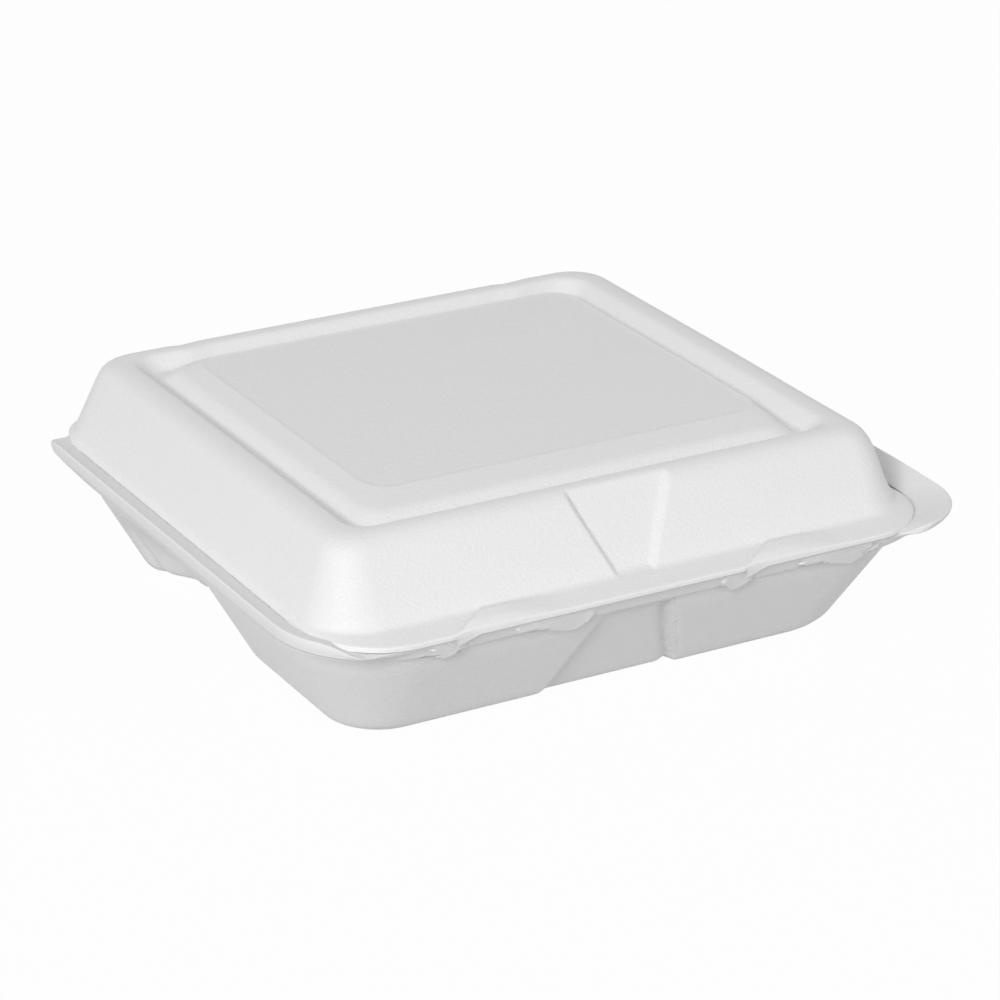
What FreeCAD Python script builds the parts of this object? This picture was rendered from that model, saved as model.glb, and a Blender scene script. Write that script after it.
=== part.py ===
import FreeCAD, Part
import os
from collections import namedtuple

# A foam food container with a hinged lid, closed. All sizes are in millimetres, +Z up.
# The origin is on the table, under the centre of the rim's rectangle. The hinge is at +Y, the latches at -Y:
# its axis lies 0.15 mm behind the rim's back edge, at PARTING_Z, half-way up the gap between the two sheets.

# The sheet and the outline of the tray's rim
WIDTH = 203.0
DEPTH = 192.0
FOAM = 2.5
GAP = 0.3

# Heights above the table
CREASE_Z = 31.2
RIM_TOP = 38.8
PARTING_Z = 35.6
LID_TOP = 57.5

# The rim: how far it reaches out beyond the crease on top of the walls
RIM_SIDE = 4.0
RIM_FRONT = 8.3
RIM_BACK = 11.8
RIM_EDGE = 3.6
RIM_TUCK = 0.5
RIM_LIP = 0.6
RIM_CORNER = 23.0
RIM_CORNER_FRONT_LEFT = 30.0
FRONT_TRIM = 4.8
LIP_END = 24.0
LIP_FADE = 12.0

# The tray's walls: how far they lean in from the crease to the floor's edge
LEAN_SIDE = 16.0
LEAN_FRONT = 19.6
LEAN_BACK = 8.0
FLOOR_ROUND = 3.5
BOWL_CORNER = 25.0
FLOOR_CORNER = 21.0

# The dividers, hollow underneath: a cross one and a stem between the two small compartments
DIVIDER_Y = 14.0
DIVIDER_TOP = 8.0
DIVIDER_LEAN = 11.0
STEM_TOP = 8.0
STEM_LEAN = 9.0
DIVIDER_CORNER = 12.0

# The recess in the front of the tray
NOTCH_X = -2.0
NOTCH_FLOOR = 38.0
NOTCH_TOP = 12.0
NOTCH_DEEP = 3.0
NOTCH_SLANT = 5.0

# The lid's walls, from the wall's foot up to the shoulder
LID_SIDE = 8.0
LID_FRONT = 11.2
LID_BACK = 1.0
LID_FOOT_CORNER = 20.0
LID_LEAN_SIDE = 10.2
LID_LEAN_FRONT = 15.9
LID_LEAN_BACK = 7.2
LID_SHOULDER = 3.5
LID_SHOULDER_CORNER = 10.5

# The flange along the lid's foot, and the skirts that it turns down into along both sides
FLANGE_SIDE = 6.9
FLANGE_FRONT = 4.1
FLANGE_CORNER = 22.0
SKIRT_DROP = 1.7
SKIRT_FRONT = 44.0
SKIRT_BACK = 30.0

# The groove in the lid's top and the panel inside it
RING_TOP = 3.0
GROOVE_DEEP = 4.9
GROOVE_SLOPE = 5.0
GROOVE_FLOOR = 1.6
PANEL_ROUND = 17.0
PANEL_DROP = 0.2

# The recess in the front of the lid
VEE_X = -1.7
VEE_FOOT = 11.8
VEE_TOP = 27.5
VEE_DEEP = 2.6
VEE_SLANT = 1.2

# The two latches, alike: a pointed tab on the lid's flange, and two lugs under the tray's rim
LATCH_X = (-61.7, 25.9)
TAB_WIDE = 7.0
TAB_DROP = 3.3
TAB_THICK = 2.2
LUG_START = -5.5
LUG_WIDE = 9.0
CATCH_START = 24.5
CATCH_WIDE = 17.0
LUG_LOW = 27.4
LUG_HIGH = 33.2
LATCH_GAP = 0.6

BEYOND = 30.0

LEFT = -WIDTH / 2
RIGHT = WIDTH / 2
FRONT = -DEPTH / 2
BACK = DEPTH / 2
WALL = FOAM * 1.14

Level = namedtuple("Level", "z side front back front_corner back_corner")


def outline(left, right, front, back, z, corners):
    """A closed rectangle at height z, with corners (front-left, front-right, back-right, back-left)."""
    limit = min(right - left, back - front) / 2 - 0.2
    fl, fr, br, bl = [max(0.4, min(radius, limit)) for radius in corners]
    points = [
        (left + fl, front), (right - fr, front), (right, front + fr), (right, back - br),
        (right - br, back), (left + bl, back), (left, back - bl), (left, front + fl),
    ]
    slack = 1 - 0.5 ** 0.5
    middles = [
        (right - fr * slack, front + fr * slack), (right - br * slack, back - br * slack),
        (left + bl * slack, back - bl * slack), (left + fl * slack, front + fl * slack),
    ]
    at = [FreeCAD.Vector(x, y, z) for x, y in points]
    bulge = [FreeCAD.Vector(x, y, z) for x, y in middles]
    edges = []
    for side in range(4):
        start, end = at[2 * side], at[2 * side + 1]
        edges.append(Part.makeLine(start, end))
        edges.append(Part.Arc(end, bulge[side], at[(2 * side + 2) % 8]).toShape())
    return Part.Wire(edges)


def rim_outline(level, left_extra=0.0):
    """The outline at one level, given by its distances from the rim's rectangle."""
    corners = (level.front_corner + left_extra, level.front_corner, level.back_corner, level.back_corner)
    return outline(LEFT + level.side, RIGHT - level.side, FRONT + level.front, BACK - level.back, level.z, corners)


def stack(levels, left_extra=0.0):
    """One closed solid through all levels, straight between each pair."""
    return Part.makeLoft([rim_outline(level, left_extra) for level in levels], True, True)


def moved(level, inset, z):
    """A level set in from its outline, at another height."""
    return Level(z, level.side + inset, level.front + inset, level.back + inset,
                 level.front_corner, level.back_corner)


def block(x0, x1, y0, y1, z0, z1):
    """A box between two corners."""
    return Part.makeBox(x1 - x0, y1 - y0, z1 - z0, FreeCAD.Vector(x0, y0, z0))


def slab(across, points):
    """A prism along X, from the pair of x values in across, through points (y, z)."""
    corners = [FreeCAD.Vector(across[0], y, z) for y, z in points]
    face = Part.Face(Part.makePolygon(corners + corners[:1]))
    return face.extrude(FreeCAD.Vector(across[1] - across[0], 0, 0))


def recess(center, foot, head, slant, low, high, depth):
    """What a recess in a sloping front wall takes away.

    foot and head are its widths at the points low and high (y, z) of the wall's surface, depth its depth.
    """
    wires = []
    for out in (-BEYOND, depth):
        spread = slant * (1 - out / depth)
        corners = []
        for (y, z), wide, side in ((low, foot, -1), (low, foot, 1), (high, head, 1), (high, head, -1)):
            half = wide / 2 - slant + spread
            corners.append(FreeCAD.Vector(center + side * half, y + out, z))
        wires.append(Part.makePolygon(corners + corners[:1]))
    return Part.makeLoft(wires, True, True)


def wall_at(z):
    """The tray's outer wall at height z, from the floor's edge to the crease."""
    rise = (z - FLOOR_ROUND) / (CREASE_Z - FLOOR_ROUND)
    lean = 1 - rise
    corner = FLOOR_CORNER + (BOWL_CORNER - FLOOR_CORNER) * rise
    return Level(z, RIM_SIDE + LEAN_SIDE * lean, RIM_FRONT + LEAN_FRONT * lean, RIM_BACK + LEAN_BACK * lean,
                 corner, corner)


def bowl(name, inset, floor):
    """One compartment as a closed solid: inset 0 gives its outside, WALL its inside."""
    wires = []
    top = CREASE_Z + (0.5 if inset else 0.0)
    for z, tuck in ((floor, FLOOR_ROUND), (floor + FLOOR_ROUND, 0.0), (top, 0.0)):
        level = moved(wall_at(max(z, FLOOR_ROUND)), inset + tuck, z)
        lean = 1 - (z - FLOOR_ROUND) / (CREASE_Z - FLOOR_ROUND)
        half = DIVIDER_TOP / 2 + DIVIDER_LEAN * lean + inset + tuck
        stem = STEM_TOP / 2 + STEM_LEAN * lean + inset + tuck
        inner = DIVIDER_CORNER - inset / 2
        left, right = LEFT + level.side, RIGHT - level.side
        front, back = FRONT + level.front, BACK - level.back
        corner = level.front_corner - inset - tuck
        if name == "front":
            wires.append(outline(left, right, front, DIVIDER_Y - half, z, (corner, corner, inner, inner)))
        elif name == "left":
            wires.append(outline(left, -stem, DIVIDER_Y + half, back, z, (corner, inner, inner, corner)))
        else:
            wires.append(outline(stem, right, DIVIDER_Y + half, back, z, (inner, corner, corner, inner)))
    return Part.makeLoft(wires, True, True)


def tray_rim():
    """The rim and the web that it shares with the dividers' tops, as one closed solid."""
    rise = RIM_TOP - RIM_EDGE
    step = CREASE_Z + 0.45 * (rise - CREASE_Z)
    return stack([
        wall_at(CREASE_Z - FOAM),
        wall_at(CREASE_Z),
        Level(step, RIM_SIDE * 0.6, RIM_FRONT * 0.58, 0.0, BOWL_CORNER, RIM_CORNER),
        Level(rise, RIM_TUCK, RIM_TUCK, 0.0, RIM_CORNER, RIM_CORNER),
        Level(RIM_TOP, 0.0, 0.0, 0.0, RIM_CORNER, RIM_CORNER),
    ], RIM_CORNER_FRONT_LEFT - RIM_CORNER)


def tray_saucer():
    """What the rim's saucer and the room over the dividers take away."""
    shelf = moved(wall_at(CREASE_Z), WALL, CREASE_Z)
    bend = CREASE_Z + 0.7 * FOAM
    return stack([
        shelf,
        Level(bend, RIM_SIDE + FOAM * 0.85, RIM_FRONT + FOAM * 0.8, RIM_BACK + FOAM, BOWL_CORNER, BOWL_CORNER),
        Level(RIM_TOP, RIM_LIP, RIM_LIP, RIM_LIP, RIM_CORNER, RIM_CORNER),
        Level(RIM_TOP + BEYOND, RIM_LIP, RIM_LIP, RIM_LIP, RIM_CORNER, RIM_CORNER),
    ], RIM_CORNER_FRONT_LEFT - RIM_CORNER)


def lid_seat():
    """What is pressed flat on the tray's rim so that the lid's flange lies on it."""
    top = PARTING_Z - GAP / 2
    seat = Level(top, FLANGE_SIDE - LATCH_GAP, FLANGE_FRONT - LATCH_GAP, -BEYOND, FLANGE_CORNER, RIM_CORNER)
    press = stack([seat, moved(seat, 0.0, RIM_TOP + BEYOND)])
    fade = slab((LEFT - BEYOND, RIGHT + BEYOND), [
        (BACK - LIP_END, RIM_TOP), (BACK - LIP_END, RIM_TOP + BEYOND), (BACK + BEYOND, RIM_TOP + BEYOND),
        (BACK + BEYOND, top), (BACK - LIP_END + LIP_FADE, top),
    ])
    return press.fuse(fade)


def front_trim():
    """What is cut off the front of the rim, up to the right corner."""
    return block(LEFT + RIM_CORNER / 2, RIGHT - RIM_CORNER - LATCH_GAP, FRONT - BEYOND, FRONT + FRONT_TRIM,
                 CREASE_Z, RIM_TOP + BEYOND)


def lugs():
    """The lugs that bulge out under the rim beside each tab. Their inner corners lie inside the sheet."""
    low = FRONT + wall_at(LUG_LOW).front
    high = FRONT + FRONT_TRIM
    inside = FOAM / 2
    section = [
        (low, LUG_LOW), (high, LUG_HIGH), (high + 1.4 * inside, LUG_HIGH + 0.5 * inside),
        (low - 0.7 * inside, CREASE_Z + 0.3 * inside), (low + inside, LUG_LOW + 0.8 * inside),
    ]
    found = []
    for x in LATCH_X:
        found.append(slab((x + LUG_START, x + LUG_START + LUG_WIDE), section))
        found.append(slab((x + CATCH_START, x + CATCH_START + CATCH_WIDE), section))
    return found


def tray_notch(sink):
    """The recess in the front of the tray, sunk further in by sink."""
    low, high = wall_at(0.0), wall_at(CREASE_Z - FOAM)
    return recess(NOTCH_X, NOTCH_FLOOR + 2 * sink, NOTCH_TOP + 2 * sink, NOTCH_SLANT,
                  (FRONT + low.front, low.z), (FRONT + high.front, high.z), NOTCH_DEEP + sink)


def make_tray():
    """The tray: three compartments hanging from one rim."""
    names = ("front", "left", "right")
    outside = tray_rim().multiFuse([bowl(name, 0.0, 0.0) for name in names]).cut(tray_notch(0.0))
    hollows = [bowl(name, WALL, FOAM).cut(tray_notch(WALL)) for name in names]
    tray = outside.cut(tray_saucer()).cut(hollows[0].multiFuse(hollows[1:]))
    return tray.cut(lid_seat()).cut(front_trim()).multiFuse(lugs())


def lid_foot(inset, z):
    """The foot of the lid's wall."""
    return Level(z, LID_SIDE + inset, LID_FRONT + inset, LID_BACK + inset, LID_FOOT_CORNER, LID_FOOT_CORNER)


def lid_shoulder(inset, z):
    """The top of the lid's wall, where its shoulder starts."""
    return Level(z, LID_SIDE + LID_LEAN_SIDE + inset, LID_FRONT + LID_LEAN_FRONT + inset,
                 LID_BACK + LID_LEAN_BACK + inset, LID_SHOULDER_CORNER, LID_SHOULDER_CORNER)


def lid_ring(inset, z):
    """The outer edge of the ring on top, with smaller corners further in."""
    level = lid_shoulder(LID_SHOULDER * 1.2 + inset, z)
    corner = max(5.0, LID_SHOULDER_CORNER - 3.0 - inset * 0.4)
    return level._replace(front_corner=corner, back_corner=corner)


def lid_block(inset, drop, foot_z):
    """The lid as if it were full, up to the top of its ring."""
    top = LID_TOP - drop
    return stack([
        lid_foot(inset, foot_z),
        lid_shoulder(inset, top - LID_SHOULDER),
        lid_shoulder(inset + LID_SHOULDER * 0.55, top - LID_SHOULDER * 0.25),
        lid_ring(inset, top),
    ])


def lid_well(reach, drop):
    """The hollow inside the ring, down to the groove's floor. reach moves its edge outwards."""
    top = LID_TOP - drop
    start = RING_TOP - reach
    return stack([
        lid_ring(start + GROOVE_SLOPE, top - GROOVE_DEEP),
        lid_ring(start + GROOVE_SLOPE * 0.3, top - GROOVE_DEEP * 0.2),
        lid_ring(start, top),
        lid_ring(start, top + BEYOND),
    ])


def lid_panel(reach, drop):
    """The panel inside the groove, with its long soft edge. reach moves its foot inwards."""
    floor = LID_TOP - GROOVE_DEEP - drop
    high = GROOVE_DEEP - PANEL_DROP
    start = RING_TOP + GROOVE_SLOPE + GROOVE_FLOOR + reach
    rises = ((0.0, 0.0), (0.08, 0.35), (0.2, 0.65), (0.42, 0.86), (0.7, 0.96), (1.0, 1.0))
    return stack([lid_ring(start + PANEL_ROUND * run, floor + high * rise) for run, rise in rises])


def lid_vee(sink):
    """The recess in the front of the lid, sunk further in by sink."""
    foot, shoulder = lid_foot(0.0, PARTING_Z + FOAM), lid_shoulder(0.0, LID_TOP - LID_SHOULDER)
    slope = (shoulder.front - foot.front) / (shoulder.z - PARTING_Z)
    above = LID_TOP + FOAM
    spread = (VEE_TOP - VEE_FOOT) / (shoulder.z - foot.z)
    return recess(VEE_X, VEE_FOOT + 2 * sink, VEE_FOOT + spread * (above - foot.z) + 2 * sink, VEE_SLANT,
                  (FRONT + foot.front + slope * FOAM, foot.z), (FRONT + foot.front + slope * (above - PARTING_Z), above),
                  VEE_DEEP + sink)


def lid_skirts():
    """The turned-down edge along each side of the lid."""
    low, high = PARTING_Z - SKIRT_DROP, PARTING_Z + GAP / 2 + FOAM
    near, far = FRONT + SKIRT_FRONT, BACK - SKIRT_BACK
    outer, inner = FLANGE_SIDE, FLANGE_SIDE + WALL
    return [
        block(LEFT + outer, LEFT + inner, near, far, low, high),
        block(RIGHT - inner, RIGHT - outer, near, far, low, high),
    ]


def lid_flange():
    """The flat flange round the lid's foot, with a pointed tab that hangs in front of each latch's rim."""
    low = PARTING_Z + GAP / 2
    edge = Level(low, FLANGE_SIDE, FLANGE_FRONT, 0.0, FLANGE_CORNER, RIM_CORNER)
    flange = stack([edge, moved(edge, 0.0, low + FOAM)])
    front = FRONT + FLANGE_FRONT
    tabs = []
    for x in LATCH_X:
        tabs.append(block(x, x + TAB_WIDE, front - TAB_THICK, front + LATCH_GAP, low, low + FOAM))
        points = [FreeCAD.Vector(x + along, front - TAB_THICK, low - drop)
                  for along, drop in ((0.0, 0.0), (TAB_WIDE, 0.0), (0.0, TAB_DROP))]
        face = Part.Face(Part.makePolygon(points + points[:1]))
        tabs.append(face.extrude(FreeCAD.Vector(0, TAB_THICK, 0)))
    return flange.multiFuse(tabs)


def make_lid():
    """The lid: walls, a ring and a sunk groove round a raised panel, and the flange."""
    foot_z = PARTING_Z + GAP / 2
    full = lid_block(0.0, 0.0, foot_z).cut(lid_well(0.0, 0.0)).fuse(lid_panel(0.0, 0.0))
    full = full.cut(lid_vee(0.0)).multiFuse([lid_flange()] + lid_skirts())
    hollow = lid_block(WALL, FOAM, foot_z - 0.1).cut(lid_well(FOAM * 0.7, FOAM)).fuse(lid_panel(FOAM * 0.7, FOAM))
    return full.cut(hollow.cut(lid_vee(WALL)))


NODES = {
    "tray": make_tray,
    "lid": make_lid,
}

if __name__ == "__main__":
    os.makedirs("parts", exist_ok=True)
    for node, make in NODES.items():
        shape = make().removeSplitter()
        shape.exportStep(f"parts/{node}.step")
        box = shape.BoundBox
        print(node, shape.isValid(), len(shape.Solids), f"{shape.Volume:.0f} mm3",
              f"x {box.XMin:.2f} {box.XMax:.2f} y {box.YMin:.2f} {box.YMax:.2f} z {box.ZMin:.2f} {box.ZMax:.2f}")
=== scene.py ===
"""A closed white foam food container on a pale table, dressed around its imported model."""

import logging
import math
from dataclasses import dataclass, field, replace
from enum import Enum
from typing import Sequence

import bmesh
import bpy
import numpy as np
from mathutils import Matrix, Vector

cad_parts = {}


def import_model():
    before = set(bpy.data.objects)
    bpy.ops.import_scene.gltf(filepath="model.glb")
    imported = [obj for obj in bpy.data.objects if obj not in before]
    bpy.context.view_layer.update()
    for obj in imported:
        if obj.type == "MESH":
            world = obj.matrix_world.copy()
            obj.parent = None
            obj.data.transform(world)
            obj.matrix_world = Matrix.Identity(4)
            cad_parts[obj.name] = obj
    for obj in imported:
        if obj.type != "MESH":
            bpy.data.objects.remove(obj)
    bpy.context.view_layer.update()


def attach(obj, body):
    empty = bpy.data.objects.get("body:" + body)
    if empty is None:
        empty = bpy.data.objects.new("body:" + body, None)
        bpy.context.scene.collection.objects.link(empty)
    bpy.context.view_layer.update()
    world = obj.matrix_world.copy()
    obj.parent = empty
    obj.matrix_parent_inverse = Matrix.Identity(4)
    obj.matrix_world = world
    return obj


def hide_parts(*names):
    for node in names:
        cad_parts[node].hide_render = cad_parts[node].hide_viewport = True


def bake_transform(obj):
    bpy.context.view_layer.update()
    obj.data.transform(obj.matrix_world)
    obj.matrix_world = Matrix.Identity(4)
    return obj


LOG = logging.getLogger("scene")
MM = 0.001
SHARP_ANGLE = math.radians(50.0)
SAME_POINT = 1e-7
WHITE = (1.0, 1.0, 1.0, 1.0)


def smooth(low: float, high: float, value: np.ndarray) -> np.ndarray:
    """Rises softly from 0 at low to 1 at high.

    Args:
        low: Where the rise starts.
        high: Where it ends. It may be smaller than low, and the curve then falls.
        value: The numbers to map.

    Returns:
        The mapped numbers, from 0 to 1.
    """
    share = np.clip((value - low) / (high - low), 0.0, 1.0)
    return share * share * (3.0 - 2.0 * share)


def hump(center: float, half: float, soft: float, value: np.ndarray) -> np.ndarray:
    """1 inside center +- half, 0 outside, with soft flanks.

    Args:
        center: The middle of the hump.
        half: Half its width, to the middle of each flank.
        soft: The width of a flank.
        value: The numbers to map.

    Returns:
        The mapped numbers, from 0 to 1.
    """
    away = np.abs(value - center)
    return smooth(half + soft / 2, half - soft / 2, away)


@dataclass(frozen=True)
class Ring:
    """One closed line of the sheet: how far it lies inside the rim's rectangle, and how high.

    bend is the length of the rounding at it, and right moves its right side outward.
    """

    side: float
    front: float
    back: float
    z: float
    front_corner: float
    back_corner: float
    bend: float = 0.0
    right: float = 0.0

    def row(self) -> np.ndarray:
        """The numbers that are mixed between two rings."""
        return np.array([self.side, self.front, self.back, self.z,
                         self.front_corner, self.back_corner, self.right])


@dataclass(frozen=True)
class Oblong:
    """A rounded rectangle in plan, sampled the same way whatever its size.

    The samples run from the front-left corner's end along the front, and then round by the right.
    crowd, from 0 to 1, draws each side's samples to its middle.
    """

    side_steps: tuple[int, int, int, int] = (240, 40, 60, 40)
    corner_steps: int = 18
    crowd: float = 0.0

    def count(self) -> int:
        """How many points one loop has."""
        return sum(self.side_steps) + 4 * self.corner_steps

    def loop(self, left: float, right: float, front: float, back: float,
             radii: Sequence[float]) -> np.ndarray:
        """The loop's points.

        Args:
            left: Its lowest x.
            right: Its highest x.
            front: Its lowest y.
            back: Its highest y.
            radii: The corners' radii: front-left, front-right, back-right, back-left.

        Returns:
            An array of x and y, one row a point.
        """
        fl, fr, br, bl = radii
        corners = [
            ((left + fl, front), (right - fr, front), (right - fr, front + fr), fr, -90.0),
            ((right, front + fr), (right, back - br), (right - br, back - br), br, 0.0),
            ((right - br, back), (left + bl, back), (left + bl, back - bl), bl, 90.0),
            ((left, back - bl), (left, front + fl), (left + fl, front + fl), fl, 180.0),
        ]
        rows = []
        for (start, end, center, radius, turn), steps in zip(corners, self.side_steps):
            along = np.arange(steps)[:, None] / steps
            along = along + self.crowd * np.sin(2 * np.pi * along) / (2 * np.pi)
            rows.append(np.array(start) * (1 - along) + np.array(end) * along)
            angle = np.radians(turn + 90.0 * np.arange(self.corner_steps) / self.corner_steps)
            rows.append(np.array(center) + radius * np.column_stack([np.cos(angle), np.sin(angle)]))
        return np.vstack(rows)


def rounded(rings: Sequence[Ring], straight: float, turns: int = 4) -> np.ndarray:
    """A profile with its bends rounded.

    Args:
        rings: The profile's corners in order, each with the length of its bend.
        straight: The longest step on a straight run.
        turns: The steps in each bend.

    Returns:
        One row of a ring's numbers for each line of the mesh.
    """
    rows = [ring.row() for ring in rings]
    lengths = [math.dist((a[0], a[1], a[3]), (b[0], b[1], b[3])) for a, b in zip(rows, rows[1:])]
    found = [rows[0]]
    for index in range(1, len(rows)):
        start, end = found[-1], rows[index]
        last = index == len(rows) - 1
        bend = 0.0 if last else min(rings[index].bend, lengths[index - 1] * 0.48, lengths[index] * 0.48)
        enter = end if bend == 0 else end + (rows[index - 1] - end) * bend / lengths[index - 1]
        run = math.dist((start[0], start[1], start[3]), (enter[0], enter[1], enter[3]))
        steps = max(1, math.ceil(run / straight))
        found += [start + (enter - start) * step / steps for step in range(1, steps + 1)]
        if bend > 0:
            leave = end + (rows[index + 1] - end) * bend / lengths[index]
            for step in range(1, turns + 1):
                t = step / turns
                found.append((1 - t) ** 2 * enter + 2 * t * (1 - t) * end + t ** 2 * leave)
    return np.array(found)


def finished(mesh: bpy.types.Mesh, shape: bmesh.types.BMesh) -> bpy.types.Object:
    """Ends a piece: outward normals, smooth faces with sharp creases, and a place in the scene.

    Args:
        mesh: The piece's mesh, which the shape is written to.
        shape: Its shape in metres, which is freed.

    Returns:
        The object, with its mesh's name.
    """
    bmesh.ops.recalc_face_normals(shape, faces=shape.faces)
    shape.to_mesh(mesh)
    shape.free()
    mesh.shade_smooth()
    mesh.set_sharp_from_angle(angle=SHARP_ANGLE)
    piece = bpy.data.objects.new(mesh.name, mesh)
    bpy.context.scene.collection.objects.link(piece)
    return piece


def mesh_piece(name: str, points: np.ndarray, faces: list[Sequence[int]]) -> bpy.types.Object:
    """A mesh object from points in millimetres.

    Args:
        name: The piece's name.
        points: One row a point.
        faces: The faces, as lists of point numbers.

    Returns:
        The object, linked to the scene.
    """
    mesh = bpy.data.meshes.new(name)
    mesh.from_pydata([tuple(p) for p in points * MM], [], [tuple(f) for f in faces])
    mesh.validate()
    shape = bmesh.new()
    shape.from_mesh(mesh)
    bmesh.ops.remove_doubles(shape, verts=shape.verts, dist=SAME_POINT)
    return finished(mesh, shape)


@dataclass
class Container:
    """What the tray and the lid share: the rim's rectangle, the sheet and the latches. Millimetres."""

    width: float = 203.0
    depth: float = 192.0
    foam: float = 2.5
    slant: float = 1.14
    parting: float = 35.6
    gap: float = 0.3
    latches: tuple[float, float] = (-61.7, 25.9)
    plan: Oblong = field(default_factory=lambda: Oblong(crowd=0.6))

    @property
    def wall(self) -> float:
        """The sheet's width measured level, where it leans."""
        return self.foam * self.slant

    @property
    def front_edge(self) -> float:
        """The y of the rim's front edge."""
        return -self.depth / 2

    @property
    def lid_low(self) -> float:
        """The height of the flange's underside."""
        return self.parting + self.gap / 2

    @property
    def seat(self) -> float:
        """The height to which the tray's rim is pressed under the flange."""
        return self.parting - self.gap / 2

    def place(self, rows: np.ndarray, left_extra: float = 0.0) -> np.ndarray:
        """The points of each ring of a profile.

        Args:
            rows: One row of a ring's numbers for each line.
            left_extra: How much larger the front-left corner is.

        Returns:
            An array of lines by points by x, y and z.
        """
        lines = []
        for side, front, back, z, front_corner, back_corner, right in rows:
            radii = (front_corner + left_extra, front_corner, back_corner, back_corner)
            loop = self.plan.loop(-self.width / 2 + side, self.width / 2 - side + right,
                                  self.front_edge + front, self.depth / 2 - back, radii)
            lines.append(np.column_stack([loop, np.full(len(loop), z)]))
        return np.array(lines)


def strips(lines: int, count: int, start: int = 0) -> list[Sequence[int]]:
    """The faces between closed lines of points that follow each other.

    Args:
        lines: How many lines there are.
        count: How many points a line has.
        start: The number of the first point.

    Returns:
        The faces.
    """
    faces = []
    for line in range(lines - 1):
        for point in range(count):
            after = (point + 1) % count
            a, b = start + line * count, start + (line + 1) * count
            faces.append((a + point, a + after, b + after, b + point))
    return faces


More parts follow.
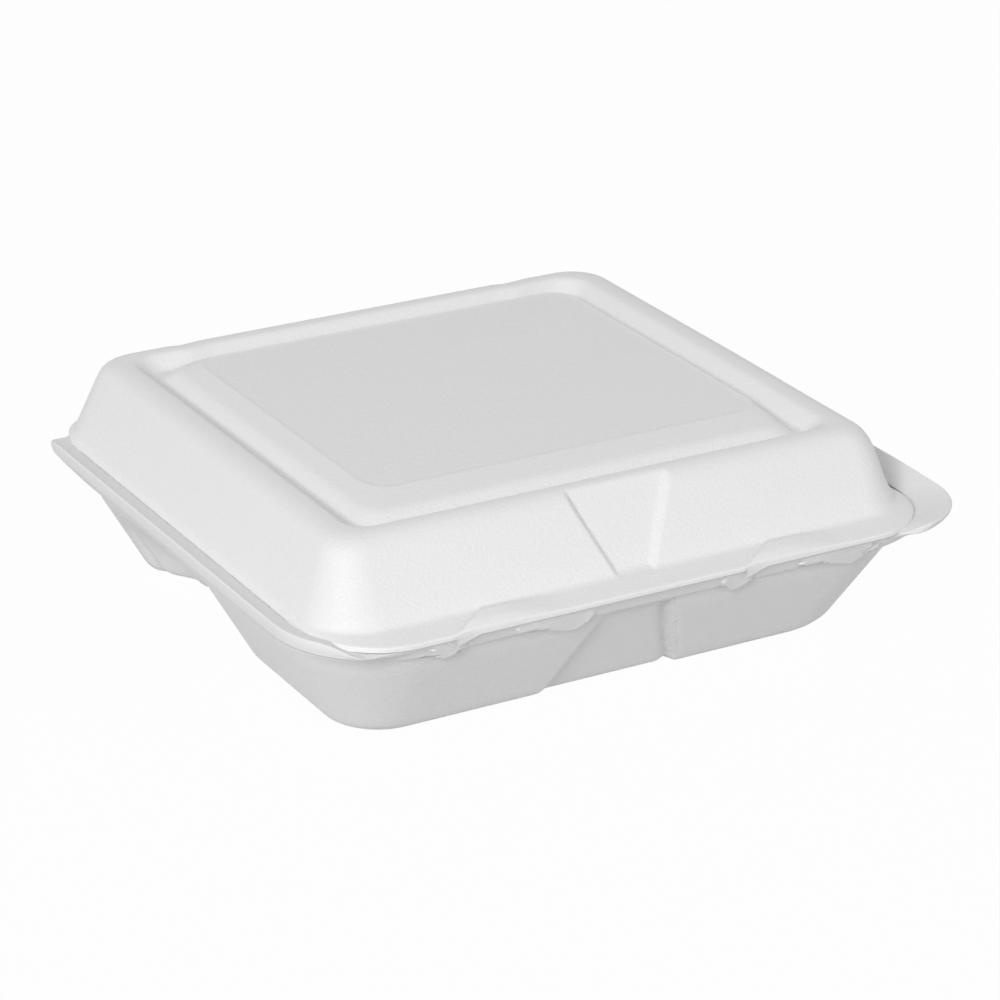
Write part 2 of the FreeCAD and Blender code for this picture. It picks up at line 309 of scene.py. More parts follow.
@dataclass
class Lid(Container):
    """The lid: walls that lean in, a ring, a sunk groove round a panel, a front recess and two tabs."""

    top: float = 57.5
    edge: float = 1.3
    flange_side: float = 6.9
    flange_front: float = 4.1
    foot_side: float = 7.9
    foot_front: float = 13.0
    foot_back: float = 1.5
    lean_side: float = 10.2
    lean_front: float = 14.2
    lean_back: float = 5.5
    groove_deep: float = 4.3
    skin_push: float = 0.6
    outside_step: float = 1.1
    inside_step: float = 2.0
    vee_low: float = 2.2
    vee_high: float = 3.0
    vee_foot: float = 5.9
    vee_top: float = 15.2
    vee_middle: float = -2.3
    vee_drift: float = 3.9
    vee_trim: float = 1.7
    vee_deep: float = 1.8
    vee_deeper: float = 0.5
    flutes: tuple[float, float] = (-55.0, 53.6)
    flute_deep: float = 1.1
    flute_half: float = 2.6
    flute_soft: float = 6.0
    flute_in_y: tuple[float, float] = (74.0, 80.0)
    flute_in_z: tuple[float, float] = (38.0, 44.0)
    dome_high: float = 1.5
    dome_slope: float = 10.4
    dome_deep: float = 8.0
    dome_fade: tuple[float, float] = (36.0, 13.0)
    tab_wide: float = 7.0
    tab_drop: float = 3.5
    tab_curve: float = 1.2
    sag: float = 0.9
    sag_in_x: tuple[float, float] = (84.0, 92.0)
    skew: float = 0.7
    skew_in_z: tuple[float, float] = (36.0, 54.0)
    tuck_right: float = 4.4
    tuck_in_x: tuple[float, float] = (45.0, 90.0)
    tuck_in_y: tuple[float, float] = (10.0, -55.0)

    def outside(self) -> list[Ring]:
        """The profile of the lid's upper face, from the flange's edge to the panel.

        Returns:
            The rings, in order.
        """
        low, top, floor = self.lid_low, self.top, self.top - self.groove_deep
        flange_side, flange_front = self.flange_side, self.flange_front
        side, front, back = self.foot_side, self.foot_front, self.foot_back
        # s, f and b are the walls' top edge. The shoulder, the ring and the groove are measured from it.
        s, f, b = side + self.lean_side, front + self.lean_front, back + self.lean_back
        return [
            Ring(flange_side, flange_front, 0.0, low, 22, 19, 0.0),
            Ring(flange_side, flange_front, 0.0, low + self.edge, 22, 19, 0.7),
            Ring(side, front, back - 0.2, low + 2.5, 16, 19.5, 1.2),
            Ring(s + 0.2, f + 0.6, b + 0.6, top - 1.5, 8.5, 11, 4.2),
            Ring(s + 4.0, f + 4.2, b + 4.2, top + 0.05, 8, 10, 2.6),
            Ring(s + 8.9, f + 8.2, b + 8.0, top - 0.1, 7, 8.5, 1.6),
            Ring(s + 13.0, f + 12.2, b + 12.0, floor, 6.0, 6.5, 1.0),
            Ring(s + 15.2, f + 14.0, b + 13.8, floor, 5.5, 6.0, 0.8),
            Ring(s + 18.2, f + 17.4, b + 15.8, top - 1.5, 8, 8, 2.4),
            Ring(s + 25.2, f + 28.6, b + 17.9, top - 0.05, 8, 8, 0.6, 6.4),
            Ring(s + 26.3, f + 29.8, b + 19.0, top - 0.25, 8, 8, 0.6, 6.4),
            Ring(s + 48.0, f + 44.0, b + 41.0, top - 0.25, 12, 12, 0.0),
        ]

    def inside(self) -> list[Ring]:
        """The profile of the lid's lower face, from the panel down to the flange's edge.

        Returns:
            The rings, in order.
        """
        wall, low = self.wall, self.lid_low
        wall_top, wall_side = self.top - 3.0, self.foot_side + self.lean_side + 1.0
        rings = []
        for ring in self.outside()[:2:-1]:
            leans = ring.z < wall_top and ring.side < wall_side
            push, fall = (wall, self.skin_push) if leans else (0.0, self.foam)
            rings.append(replace(ring, z=ring.z - fall, side=ring.side + push,
                                 front=ring.front + push, back=ring.back + push))
        side, front, back = (inset + wall for inset in (self.foot_side, self.foot_front, self.foot_back))
        rings.append(Ring(side, front, back, low, 15, 15, 1.0))
        rings.append(Ring(self.flange_side, self.flange_front, 0.0, low, 22, 19, 0.0))
        return rings

    def recess(self, points: np.ndarray) -> np.ndarray:
        """How far the front recess moves each point back.

        Args:
            points: Lines by points by x, y and z.

        Returns:
            The movement along +Y.
        """
        x, y, z = points[..., 0], points[..., 1], points[..., 2]
        foot = self.parting + self.vee_low
        rise = (z - foot) / (self.top - self.vee_high - foot)
        half = self.vee_foot + (self.vee_top - self.vee_foot) * rise
        middle = self.vee_middle + self.vee_drift * rise
        left, right = middle - half, middle + half - self.vee_trim
        inside = smooth(left - 0.9, left + 0.9, x) * smooth(right + 0.45, right - 0.45, x)
        height = smooth(foot - 0.1, foot + 0.9, z)
        wall_top = self.front_edge + self.foot_front + self.lean_front
        reach = smooth(wall_top + 5.0, wall_top - 0.5, y)
        deep = self.vee_deep + self.vee_deeper * np.clip(rise, 0, 1)
        return deep * inside * height * reach

    def flute(self, points: np.ndarray) -> np.ndarray:
        """How far the two flutes in the rear wall and shoulder move each point forward.

        Args:
            points: Lines by points by x, y and z.

        Returns:
            The movement along -Y.
        """
        x, y, z = points[..., 0], points[..., 1], points[..., 2]
        across = sum(hump(center, self.flute_half, self.flute_soft, x) for center in self.flutes)
        return self.flute_deep * across * smooth(*self.flute_in_y, y) * smooth(*self.flute_in_z, z)

    def tabs(self, points: np.ndarray) -> np.ndarray:
        """Raises the flange's dome behind each tab and draws the tab's point down.

        Args:
            points: Lines by points by x, y and z.

        Returns:
            The points, moved.
        """
        x, y, z = points[..., 0], points[..., 1], points[..., 2]
        low, edge = self.lid_low, self.front_edge + self.flange_front
        fade_end, fade_start = self.dome_fade
        lift, drop = np.zeros_like(x), np.zeros_like(x)
        for start in self.latches:
            ridge = start + 0.6 + self.dome_slope * np.clip((y - edge) / self.dome_deep, 0, 1)
            fade = smooth(start + fade_end, start + fade_start, x)
            lift = lift + smooth(ridge - 0.9, ridge + 0.9, x) * fade
            along = np.clip((x - start) / self.tab_wide, 0, 1)
            drop = drop + smooth(start - 0.4, start + 0.6, x) * (1 - along) ** self.tab_curve
        on_top = smooth(low + 0.6, low + 1.2, z) * smooth(low + 4.0, low + 2.8, z) * (y < edge + 12.0)
        arch = (0.35 + 0.65 * smooth(edge - 0.5, edge + 3.0, y)) * smooth(edge + 9.5, edge + 6.5, y)
        z = z + self.dome_high * lift * arch * on_top
        fang = self.tab_drop * drop * smooth(edge + 0.5, edge + 0.1, y) * smooth(low + 1.2, low + 0.2, z)
        return np.stack([x, y + 0.5 * fang, z - fang], axis=-1)

    def settle(self, points: np.ndarray) -> np.ndarray:
        """Puts the pressed lid a little out of true: it sags, leans left and has a tucked right corner.

        Args:
            points: Lines by points by x, y and z.

        Returns:
            The points, moved.
        """
        x, y, z = points[..., 0], points[..., 1], points[..., 2]
        low = self.lid_low
        sides = smooth(*self.sag_in_x, np.abs(x)) * smooth(-72.0, -52.0, y) * smooth(88.0, 70.0, y)
        z = z - self.sag * smooth(low, low + 1.0, z) * sides * smooth(low + 6.0, low + 2.4, z)
        share = 1 + 0.35 * smooth(37.0, 38.6, z) - 1.2 * smooth(38.6, 54.0, z)
        tuck = self.tuck_right * smooth(*self.tuck_in_x, x) * smooth(*self.tuck_in_y, y) * share
        x = x - self.skew * smooth(*self.skew_in_z, z) - tuck
        return np.stack([x, y, z], axis=-1)

    def build(self, foam: "FoamFinish") -> bpy.types.Object:
        """Makes the lid.

        Args:
            foam: Its finish.

        Returns:
            The piece, in place and riding on its body.
        """
        inside = rounded(self.inside(), self.inside_step)[:-1]
        outside = rounded(self.outside(), self.outside_step)
        points = self.place(np.vstack([inside, outside]))
        points[..., 1] += self.recess(points) - self.flute(points)
        points = self.settle(self.tabs(points))
        lines, count = points.shape[:2]
        faces = strips(lines, count)
        faces.append(tuple(range(count)))
        faces.append(tuple(range((lines - 1) * count, lines * count)))
        piece = mesh_piece("lid_shell", points.reshape(-1, 3), faces)
        piece.data.materials.append(foam.material())
        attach(piece, "lid")
        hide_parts("lid")
        return piece


class Bowl(Enum):
    """The tray's compartments."""

    FRONT = "front"
    LEFT = "left"
    RIGHT = "right"


@dataclass
class Tray(Container):
    """The tray: three bowls that hang from one rim, with open channels between them."""

    crease: float = 31.2
    rim_top: float = 38.8
    rim_edge: float = 3.6
    rim_side: float = 4.0
    rim_front: float = 8.3
    rim_back: float = 11.8
    lean_side: float = 16.1
    lean_front: float = 18.2
    lean_back: float = 8.0
    floor_round: float = 3.5
    floor_tuck: float = 2.5
    lip_round: float = 2.5
    shelf: float = 0.45
    lug_lines: int = 18
    lug_step: float = 0.28
    lug_out: float = 3.1
    lug_jut: float = 1.7
    divider_y: float = 14.0
    divider_top: float = 8.0
    divider_lean: float = 11.0
    stem_top: float = 8.0
    stem_lean: float = 9.0
    rim_step: float = 1.4
    left_extra: float = 7.0
    front_trim: float = 5.4
    pressed_left: tuple[float, float] = (-96.0, -87.0)
    pressed_right: tuple[float, float] = (84.0, 74.0)
    corner_lift: float = 1.9
    rear_drop: float = 1.3
    tip_drop: float = 3.0
    flute_y: float = 56.0
    flute_deep: float = 1.2
    lobe_deep: float = 7.6
    pinch_in_x: tuple[float, float] = (46.0, 64.0)
    tuck_right: float = 7.4
    tuck_in_y: tuple[float, float] = (20.0, -50.0)
    notch_foot: tuple[float, float] = (-22.8, 19.5)
    notch_drift: tuple[float, float] = (9.0, -14.0)
    notch_deep: float = 2.0
    notch_deeper: float = 1.7
    notch_in_y: tuple[float, float] = (-40.0, -60.0)
    front_plan: Oblong = field(default_factory=lambda: Oblong((240, 50, 70, 50), 20))
    rear_plan: Oblong = field(default_factory=lambda: Oblong((40, 40, 40, 40), 16))

    def rim(self) -> list[Ring]:
        """The profile of the rim, from the crease under it, out round its cut edge and in to the shelf.

        Returns:
            The rings, in order.
        """
        wall = self.wall
        high, low = self.rim_top, self.rim_top - self.rim_edge
        middle = (high + low) / 2
        return [
            Ring(self.rim_side, self.rim_front + 0.8, self.rim_back, self.crease - 1.0, 23.5, 25, 0.0),
            Ring(self.rim_side, self.rim_front, self.rim_back, self.crease, 25, 25, 0.0),
            Ring(self.rim_side - 1.0, self.rim_front - 1.2, self.rim_back - 1.0, self.crease + 0.1,
                 25, 25, 0.1),
            Ring(1.8, 6.4, 0.3, self.crease + 2.0, 24, 24, 0.8),
            Ring(0.4, 0.4, 0.05, low, 23, 23, 0.2),
            Ring(0.1, 0.1, 0.0, middle, 23, 23, 0.1),
            Ring(0.0, 0.0, 0.0, high - 0.3, 23, 23, 0.2),
            Ring(0.4, 0.4, 0.35, high, 23, 23, 0.3),
            Ring(2.2, 4.2, 1.0, self.parting + 2.2, 22.5, 23, 0.6),
            Ring(7.8, 10.7, 4.0, self.parting - 0.35, 21, 22, 0.4),
            Ring(7.3, 11.1, self.rim_back + wall - 0.2, self.parting - 2.0, 22, 22, 0.5),
            Ring(self.rim_side + wall, self.rim_front + wall, self.rim_back + wall, self.crease, 24, 24, 0.0),
        ]

    def shape_rim(self, points: np.ndarray) -> np.ndarray:
        """Presses and trims the rim where the lid's flange lies on it, and lets its rear corners down.

        Args:
            points: Lines by points by x, y and z.

        Returns:
            The points, moved.
        """
        x, y, z = points[..., 0], points[..., 1], points[..., 2]
        seat, front, back = self.seat, self.front_edge, self.depth / 2
        low = self.rim_top - self.rim_edge
        lip = int(np.argmax(z[:, 0]))
        outer = np.arange(len(z))[:, None] <= lip + 1
        # The front right corner of the cut edge rises.
        corner = smooth(60.0, 92.0, x) * smooth(-50.0, -82.0, y)
        climb = smooth(self.rim_top - 0.4, low, z) * smooth(self.crease + 0.5, low - 1.0, z)
        z = z + self.corner_lift * corner * outer * climb
        # The front is pressed down to the flange.
        pressed = smooth(*self.pressed_left, x) * smooth(*self.pressed_right, x)
        pressed = pressed * smooth(front + 17.0, front + 13.0, y)
        z = z - np.maximum(0.0, z - seat) * pressed
        # The back comes down to the hinge, and its two tips further.
        fall = smooth(back - 22.0, back - 9.0, y)
        tips = self.tip_drop * smooth(back - 11.5, back - 4.0, y) * smooth(80.0, 91.0, np.abs(x))
        share = np.clip((z - low) / self.rim_edge, 0, 1)
        down = self.rear_drop + (self.rim_top - seat - self.rear_drop) * share
        outside = z - down * fall * smooth(self.crease, low, z)
        inside = z - np.maximum(0.0, z - seat) * fall
        z = np.where(outer, outside, inside) - tips
        # The front edge is trimmed behind the flange's.
        edge = front + (self.front_trim + 0.6 * np.clip(low - z, 0.0, 4.0)) * pressed
        y = np.where((y < edge) & (pressed > 0.001), edge + 0.02 * (y - edge), y)
        return np.stack([x - corner, y, z], axis=-1)

    def bowl_rings(self, bowl: Bowl, inset: float, floor: float, top: float) -> np.ndarray:
        """The lines of one compartment, from its top edge down to its floor.

        Args:
            bowl: Which compartment.
            inset: 0 for its outside, and the wall's width for its inside.
            floor: The height of its floor.
            top: The height of its top edge.

        Returns:
            Lines by points by x, y and z.
        """
        lines = []
        for z, tuck, out in self.bowl_profile(inset, floor, top):
            rise = (z - self.floor_round) / (self.crease - self.floor_round)
            lean = 1 - rise
            held = min(1.0, max(0.0, rise))
            pulled = inset + tuck
            side = self.rim_side + self.lean_side * lean + pulled
            front = self.rim_front + self.lean_front * lean + pulled
            back = self.rim_back + self.lean_back * lean + pulled
            half = self.divider_top / 2 + self.divider_lean * lean + pulled - out
            stem = self.stem_top / 2 + self.stem_lean * lean + pulled - out
            left, right = -self.width / 2 + side, self.width / 2 - side
            near, far = self.front_edge + front, self.depth / 2 - back
            near_left = max(3.0, 16.0 + 14.0 * held - pulled)
            near_right = max(3.0, 21.0 + 5.0 * held - pulled)
            rear = max(3.0, 18.5 + 12.0 * held - pulled)
            waist = max(3.0, 12.0 + 14.0 * held - pulled)
            inner = max(3.0, 12.0 - inset / 2 - tuck * 0.3)
            if bowl is Bowl.FRONT:
                loop = self.front_plan.loop(left, right, near, self.divider_y - half,
                                            (near_left, near_right, waist, waist))
            elif bowl is Bowl.LEFT:
                loop = self.rear_plan.loop(left, -stem, self.divider_y + half, far,
                                           (inner, inner, inner, rear))
            else:
                loop = self.rear_plan.loop(stem, right, self.divider_y + half, far,
                                           (inner, inner, rear, inner))
            lines.append(np.column_stack([loop, np.full(len(loop), z)]))
        return np.array(lines)

    def bowl_profile(self, inset: float, floor: float, top: float) -> list[tuple[float, float, float]]:
        """Heights, tucks and flares of a compartment's lines, from its top down to its floor.

        Args:
            inset: 0 for its outside, and the wall's width for its inside.
            floor: The height of its floor.
            top: The height of its top edge.

        Returns:
            A height, a tuck and a flare for each line.
        """
        if inset:
            turns = [math.radians(90.0 * step / 6) for step in range(6)]
            found = [(top - self.lip_round * (1 - math.cos(turn)), self.shelf,
                      self.lip_round * (1 - math.sin(turn))) for turn in turns]
        else:
            last = self.lug_lines - 1
            found = [(top - self.lug_step * step, self.shelf * (1 - step / last), 0.0)
                     for step in range(self.lug_lines)]
        start, tuck = found[-1][:2]
        knee = floor + self.floor_round
        steps, bends = 12, 8
        for step in range(1, steps + 1):
            found.append((start + (knee - start) * step / steps, tuck * (1 - step / steps), 0.0))
        for step in range(1, bends + 1):
            turn = math.radians(90.0 * step / bends)
            found.append((floor + self.floor_round * (1 - math.sin(turn)),
                          self.floor_tuck * (1 - math.cos(turn)), 0.0))
        return found

    def notch(self, points: np.ndarray) -> np.ndarray:
        """How far the recess in the tray's front moves each point back.

        Args:
            points: Lines by points by x, y and z.

        Returns:
            The movement along +Y.
        """
        x, y, z = points[..., 0], points[..., 1], points[..., 2]
        rise = np.clip(z / self.crease, 0, 1)
        left, right = (foot + drift * rise for foot, drift in zip(self.notch_foot, self.notch_drift))
        deep = self.notch_deep * smooth(left - 1.6, left + 1.6, x)
        deep = deep + self.notch_deeper * smooth(right - 5.0, right - 0.6, x)
        held = smooth(right + 0.8, right - 0.8, x) * smooth(*self.notch_in_y, y)
        return deep * held * smooth(self.crease, self.crease - 2.0, z)

    def pinch(self, points: np.ndarray) -> np.ndarray:
        """How far the outer walls move along x: a flute and a lobe in each rear bowl, and the front right.

        Args:
            points: Lines by points by x, y and z.

        Returns:
            The movement along +X, which is towards the middle.
        """
        x, y, z = points[..., 0], points[..., 1], points[..., 2]
        outer = smooth(*self.pinch_in_x, np.abs(x))
        groove = self.flute_deep * hump(self.flute_y, 1.4, 3.0, y) * smooth(28.0, 14.0, z)
        lobe = smooth(self.flute_y + 4.0, self.flute_y - 12.0, y) * smooth(30.0, 6.0, z) * (y > 20.0)
        share = 0.3 + 0.7 * np.clip((z - 3.0) / 28.0, 0, 1)
        right = self.tuck_right * (x > 0) * smooth(*self.tuck_in_y, y) * share
        return -np.sign(x) * outer * (groove + self.lobe_deep * lobe + right)

    def lugs(self, points: np.ndarray) -> np.ndarray:
        """Bulges the front wall out under the rim, in a short and a long lug beside each tab.

        Args:
            points: One row a point.

        Returns:
            The points, moved.
        """
        x, y, z = points.T
        along = np.array([-6.0, -5.0, -2.4, 0.6, 2.8, 3.8, 17.0, 24.9, 29.9, 35.0, 37.6, 39.6, 41.0, 42.0])
        depth = np.array([31.2, 30.4, 28.0, 28.5, 29.8, 31.2, 31.2, 31.0, 29.2, 27.6, 27.2, 28.2, 30.4, 31.2])
        low = np.full_like(x, self.crease)
        for start in self.latches:
            low = np.minimum(low, np.interp(x - start, along, depth))
        slope = self.lean_front / (self.crease - self.floor_round)
        wall = self.front_edge + self.rim_front
        foot = wall + slope * (self.crease - low)
        high = self.parting - 0.4
        share = np.clip((z - low) / (high - low), 0, 1)
        line = foot + share * (wall - self.lug_out - foot)
        line = line - self.lug_jut * smooth(0.0, 0.8, z - low) * (1 - share)
        own = wall + slope * (self.crease - z)
        near = (y < own + 1.0) & (low < self.crease - 0.05) & (z > low) & (z < high) & (y > wall - 3.8)
        return np.column_stack([x, np.where(near, np.minimum(y, line), y), z])

    def build(self, foam: "FoamFinish") -> bpy.types.Object:
        """Makes the tray.

        Args:
            foam: Its finish.

        Returns:
            The piece, in place and riding on its body.
        """
        shape = bmesh.new()
        rim = self.place(rounded(self.rim(), self.rim_step), self.left_extra)
        rim[..., 0] += self.pinch(rim) * np.clip((self.crease + 2.0 - rim[..., 2]) / 2.0, 0, 1)
        rim = self.shape_rim(rim)
        rim_lines = add_sheet(shape, rim)
        under, over = [rim_lines[0]], [rim_lines[-1]]
        for bowl in Bowl:
            outer = self.bowl_rings(bowl, 0.0, 0.0, self.crease - 1.0)
            inner = self.bowl_rings(bowl, self.wall, self.foam, self.crease)
            for points, rims in ((outer, under), (inner, over)):
                points[..., 1] += self.notch(points)
                points[..., 0] += self.pinch(points)
                lines = add_sheet(shape, points)
                shape.faces.new(lines[-1])
                rims.append(lines[0])
        for loops in (under, over):
            fill_between(shape, loops)
        shape.verts.ensure_lookup_table()
        placed = self.lugs(np.array([vert.co for vert in shape.verts]))
        for vert, place in zip(shape.verts, placed):
            vert.co = place * MM
        piece = finished(bpy.data.meshes.new("tray_shell"), shape)
        piece.data.materials.append(foam.material())
        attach(piece, "tray")
        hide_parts("tray")
        return piece


@dataclass
class Hinge(Container):
    """The pressed line that joins the lid's rear edge to the tray's."""

    half: float = 73.0
    thick: float = 0.6
    reach: float = 1.3
    inset: float = 0.02
    crease_deep: float = 0.22
    crease_half: float = 0.25
    steps: int = 60

    def build(self, foam: "FoamFinish") -> bpy.types.Object:
        """Makes the living hinge, which lies between the two bodies.

        Args:
            foam: Its finish.

        Returns:
            The piece, in place.
        """
        back = self.depth / 2 - self.inset
        heights = np.linspace(-self.reach, self.reach, 15)
        dents = self.crease_deep * np.exp(-(heights / self.crease_half) ** 2)
        outer = [(back - dent, self.parting + height) for dent, height in zip(dents, heights)]
        inner = [(back - self.thick, self.parting + height) for height in heights[::-1]]
        section = np.array(outer + inner)
        count = len(section)
        points = []
        for x in np.linspace(-self.half, self.half, self.steps + 1):
            points.append(np.column_stack([np.full(count, x), section]))
        faces = strips(self.steps + 1, count)
        faces.append(tuple(range(count)))
        faces.append(tuple(range(self.steps * count, (self.steps + 1) * count)))
        piece = mesh_piece("hinge_web", np.vstack(points), faces)
        piece.data.materials.append(foam.material())
        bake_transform(piece)
        return piece


def add_sheet(shape: bmesh.types.BMesh, points: np.ndarray) -> list[list[bmesh.types.BMVert]]:
    """Adds closed lines of points and the faces between them.

    Args:
        shape: What they are added to.
        points: Lines by points by x, y and z.

    Returns:
        The new points, line by line.
    """
    lines = [[shape.verts.new(p) for p in line] for line in points]
    for upper, lower in zip(lines, lines[1:]):
        for index in range(len(upper)):
            after = (index + 1) % len(upper)
            shape.faces.new((upper[index], upper[after], lower[after], lower[index]))
    return lines


def fill_between(shape: bmesh.types.BMesh, loops: list[list[bmesh.types.BMVert]]) -> None:
    """Fills the flat web between an outer loop and the loops inside it.

    Args:
        shape: What the web is added to.
        loops: The outer loop first.
    """
    edges = []
    for loop in loops:
        for index, vert in enumerate(loop):
            edges.append(shape.edges.get((vert, loop[(index + 1) % len(loop)])))
    bmesh.ops.triangle_fill(shape, use_beauty=True, use_dissolve=False, edges=edges)


class Value:
    """A shader socket that takes part in Python expressions."""

    def __init__(self, kit: "Nodes", socket: bpy.types.NodeSocket) -> None:
        """Keeps the socket and the tree that it is in."""
        self.kit = kit
        self.socket = socket

    def _math(self, operation: str, first: "Value | float", second: "Value | float") -> "Value":
        """One Math node."""
        return self.kit.add("ShaderNodeMath", {"operation": operation}, {0: first, 1: second})

    def __add__(self, other: "Value | float") -> "Value":
        """self + other."""
        return self._math("ADD", self, other)

    def __radd__(self, other: "Value | float") -> "Value":
        """other + self."""
        return self._math("ADD", other, self)

    def __sub__(self, other: "Value | float") -> "Value":
        """self - other."""
        return self._math("SUBTRACT", self, other)

    def __rsub__(self, other: "Value | float") -> "Value":
        """other - self."""
        return self._math("SUBTRACT", other, self)

    def __mul__(self, other: "Value | float") -> "Value":
        """self * other."""
        return self._math("MULTIPLY", self, other)

    def __rmul__(self, other: "Value | float") -> "Value":
        """other * self."""
        return self._math("MULTIPLY", other, self)


class Nodes:
    """Builds one material's node tree."""

    def __init__(self, tree: bpy.types.NodeTree) -> None:
        """Starts with an empty tree."""
        self.tree = tree
        tree.nodes.clear()

    def add(self, kind: str, settings: dict | None = None, inputs: dict | None = None,
            out: int | str = 0) -> Value:
        """Adds one node.

        Args:
            kind: The node's type.
            settings: Its settings, set first.
            inputs: Values or links for its sockets, by name or number.
            out: Which output is returned.

        Returns:
            The output.
        """
        node = self.tree.nodes.new(kind)
        for key, value in (settings or {}).items():
            setattr(node, key, value)
        for key, value in (inputs or {}).items():
            if isinstance(value, Value):
                self.tree.links.new(value.socket, node.inputs[key])
            else:
                node.inputs[key].default_value = value
        return Value(self, node.outputs[out] if node.outputs else None)


@dataclass(frozen=True)
class FoamFinish:
    """White foam sheet: a smooth skin with a fine pebble and a soft satin sheen."""

    name: str = "white_foam"
    color: tuple[float, float, float] = (0.87, 0.87, 0.87)
    roughness: float = 0.46
    pebble_mm: float = 0.9
    pebble_strength: float = 0.85
    pebble_high_mm: float = 0.2
    pebble_shade: float = 0.985
    patch_mm: float = 25.0
    patch_swing: float = 0.08

    def noise(self, kit: "Nodes", place: "Value", size_mm: float) -> "Value":
        """Soft grains of a size."""
        return kit.add("ShaderNodeTexNoise", {"noise_dimensions": "3D"}, {
            "Vector": place, "Scale": 1.0 / (size_mm * MM), "Detail": 2.0, "Roughness": 0.5})

    def material(self) -> bpy.types.Material:
        """The finish as a material, made once.

        Returns:
            The material.
        """
        found = bpy.data.materials.get(self.name)
        if found:
            return found
        material = bpy.data.materials.new(self.name)
        material.use_nodes = True
        kit = Nodes(material.node_tree)
        place = kit.add("ShaderNodeTexCoord", out="Object")
        pebble = self.noise(kit, place, self.pebble_mm)
        patch = self.noise(kit, place, self.patch_mm)
        bump = kit.add("ShaderNodeBump", {}, {
            "Height": pebble, "Strength": self.pebble_strength, "Distance": self.pebble_high_mm * MM})
        rough = patch * self.patch_swing + (self.roughness - self.patch_swing / 2)
        shaded = tuple(channel * self.pebble_shade for channel in self.color)
        # Sockets 6 and 7 are the colours of a Mix node, and its output 2 is their mixture.
        tint = kit.add("ShaderNodeMix", {"data_type": "RGBA"}, {
            0: pebble, 6: (*shaded, 1.0), 7: (*self.color, 1.0)}, 2)
        skin = kit.add("ShaderNodeBsdfPrincipled", {}, {
            "Base Color": tint, "Roughness": rough, "Normal": bump, "Specular IOR Level": 0.5})
        kit.add("ShaderNodeOutputMaterial", {}, {"Surface": skin})
        return material


@dataclass(frozen=True)
class Lamp:
    """A soft square lamp that faces the object: its place and side in metres, and its watts."""

    name: str
    place: tuple[float, float, float]
    size: float
    power: float


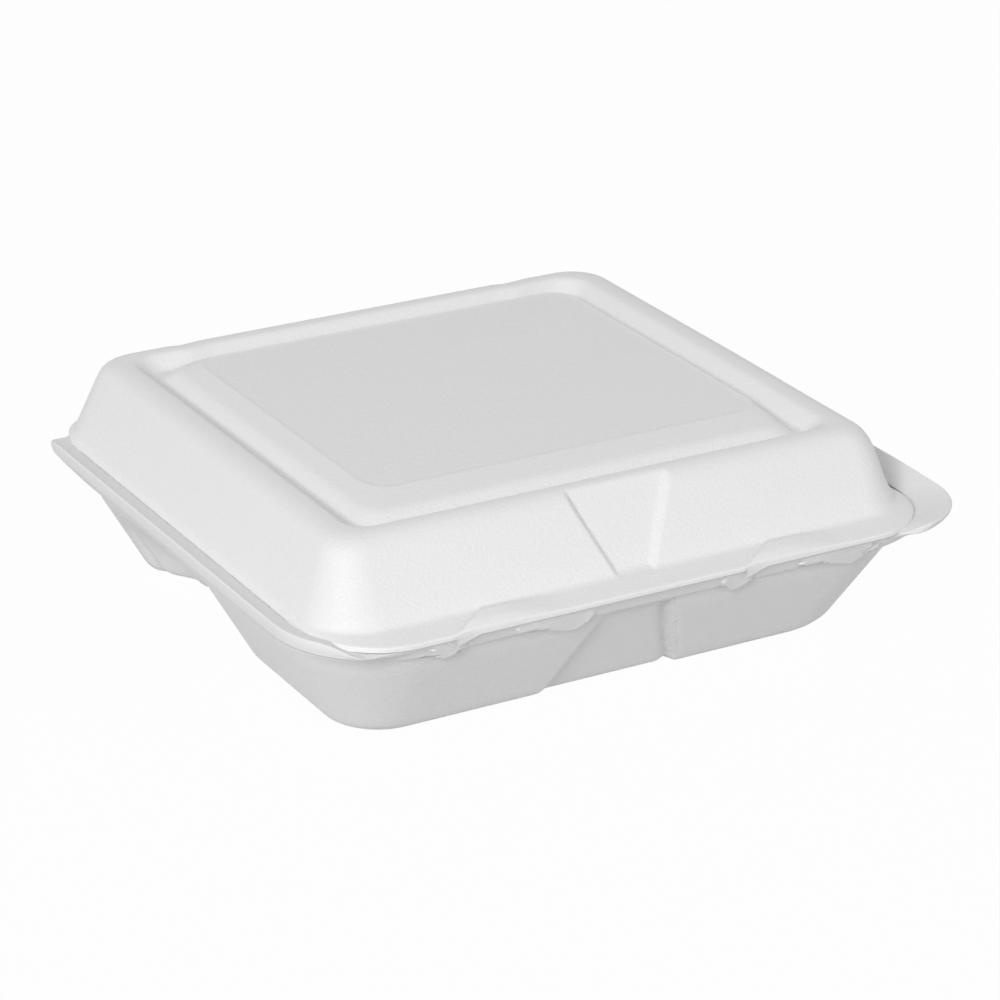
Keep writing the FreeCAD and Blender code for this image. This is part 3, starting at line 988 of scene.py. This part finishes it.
@dataclass(frozen=True)
class Studio:
    """The white table, the lamps and the camera at the photograph's viewing angle."""

    azimuth: float = 29.2957
    elevation: float = 22.9258
    roll: float = -0.0501
    lens: float = 135.98
    distance: float = 1.08012
    aim: tuple[float, float, float] = (0.00738, 0.00912, 0.0228)
    lamp_aim: tuple[float, float, float] = (0.0, 0.0, 0.03)
    lamps: tuple[Lamp, ...] = (Lamp("key", (-1.42, -1.3, 1.08), 0.6, 25.5),
                               Lamp("fill", (0.9, -1.2, 0.6), 0.5, 2.0))
    surround: float = 0.44
    table_reach: float = 6.0
    table_grey: float = 0.58
    table_white: float = 0.975

    def camera(self) -> None:
        """Makes the scene's camera."""
        turn, tilt, roll = (math.radians(v) for v in (self.azimuth, self.elevation, self.roll))
        ahead = Vector((math.sin(turn) * math.cos(tilt), math.cos(turn) * math.cos(tilt), -math.sin(tilt)))
        right = Vector((math.cos(turn), -math.sin(turn), 0.0))
        above = right.cross(ahead)
        level, upright = right, above
        right = level * math.cos(roll) + upright * math.sin(roll)
        above = upright * math.cos(roll) - level * math.sin(roll)
        data = bpy.data.cameras.new("camera")
        data.lens = self.lens
        data.clip_start = 0.01
        camera = bpy.data.objects.new("camera", data)
        bpy.context.scene.collection.objects.link(camera)
        place = Vector(self.aim) - ahead * self.distance
        camera.matrix_world = Matrix((
            (right.x, above.x, -ahead.x, place.x),
            (right.y, above.y, -ahead.y, place.y),
            (right.z, above.z, -ahead.z, place.z),
            (0.0, 0.0, 0.0, 1.0)))
        bpy.context.scene.camera = camera

    def light(self, lamp: Lamp) -> None:
        """Puts a lamp into the scene.

        Args:
            lamp: The lamp.
        """
        data = bpy.data.lights.new(lamp.name, "AREA")
        data.size = lamp.size
        data.energy = lamp.power
        light = bpy.data.objects.new(lamp.name, data)
        bpy.context.scene.collection.objects.link(light)
        light.location = lamp.place
        ray = Vector(self.lamp_aim) - Vector(lamp.place)
        light.rotation_euler = ray.to_track_quat("-Z", "Y").to_euler()

    def seen(self, kit: Nodes) -> Value:
        """1 where the camera, a reflection or a view through something meets the background, else 0."""
        kinds = ("Camera", "Glossy", "Transmission")
        rays = [kit.add("ShaderNodeLightPath", out=f"Is {kind} Ray") for kind in kinds]
        return kit.add("ShaderNodeMath", {"operation": "ADD", "use_clamp": True},
                       {0: rays[0] + rays[1], 1: rays[2]})

    def table(self) -> None:
        """Makes the white table."""
        mesh = bpy.data.meshes.new("table")
        reach, grey = self.table_reach, self.table_grey
        mesh.from_pydata([(-reach, -reach, 0), (reach, -reach, 0), (reach, reach, 0), (-reach, reach, 0)], [],
                         [(0, 1, 2, 3)])
        table = bpy.data.objects.new("table", mesh)
        bpy.context.scene.collection.objects.link(table)
        material = bpy.data.materials.new("white_table")
        material.use_nodes = True
        kit = Nodes(material.node_tree)
        board = kit.add("ShaderNodeBsdfPrincipled", {}, {
            "Base Color": (grey, grey, grey, 1.0), "Roughness": 0.9, "Specular IOR Level": 0.1})
        light = kit.add("ShaderNodeEmission", {}, {"Color": WHITE, "Strength": 1.0})
        mixed = kit.add("ShaderNodeMixShader", {}, {0: self.seen(kit) * self.table_white, 1: board, 2: light})
        kit.add("ShaderNodeOutputMaterial", {}, {"Surface": mixed})
        mesh.materials.append(material)

    def world(self) -> None:
        """Makes a plain pale surround."""
        world = bpy.data.worlds.new("surround")
        world.use_nodes = True
        kit = Nodes(world.node_tree)
        dim = kit.add("ShaderNodeBackground", {}, {"Color": WHITE, "Strength": self.surround})
        white = kit.add("ShaderNodeBackground", {}, {"Color": WHITE, "Strength": 1.0})
        mixed = kit.add("ShaderNodeMixShader", {}, {0: self.seen(kit), 1: dim, 2: white})
        kit.add("ShaderNodeOutputWorld", {}, {"Surface": mixed})
        bpy.context.scene.world = world

    def build(self) -> None:
        """Makes all of it."""
        self.table()
        self.world()
        for lamp in self.lamps:
            self.light(lamp)
        self.camera()
        bpy.context.scene.view_settings.view_transform = "Standard"


def corners(box: tuple[Vector, Vector]) -> list[list[float]]:
    """A box as plain lists of numbers."""
    return [list(corner) for corner in box]


def main() -> None:
    """Builds the pieces in order, then the studio."""
    logging.basicConfig(level=logging.INFO)
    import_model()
    foam = FoamFinish()
    for maker in (Tray(), Lid(), Hinge()):
        piece = maker.build(foam)
        LOG.info("%s: %d points, %d faces", piece.name, len(piece.data.vertices), len(piece.data.polygons))
    Studio().build()


if __name__ == "__main__":
    main()
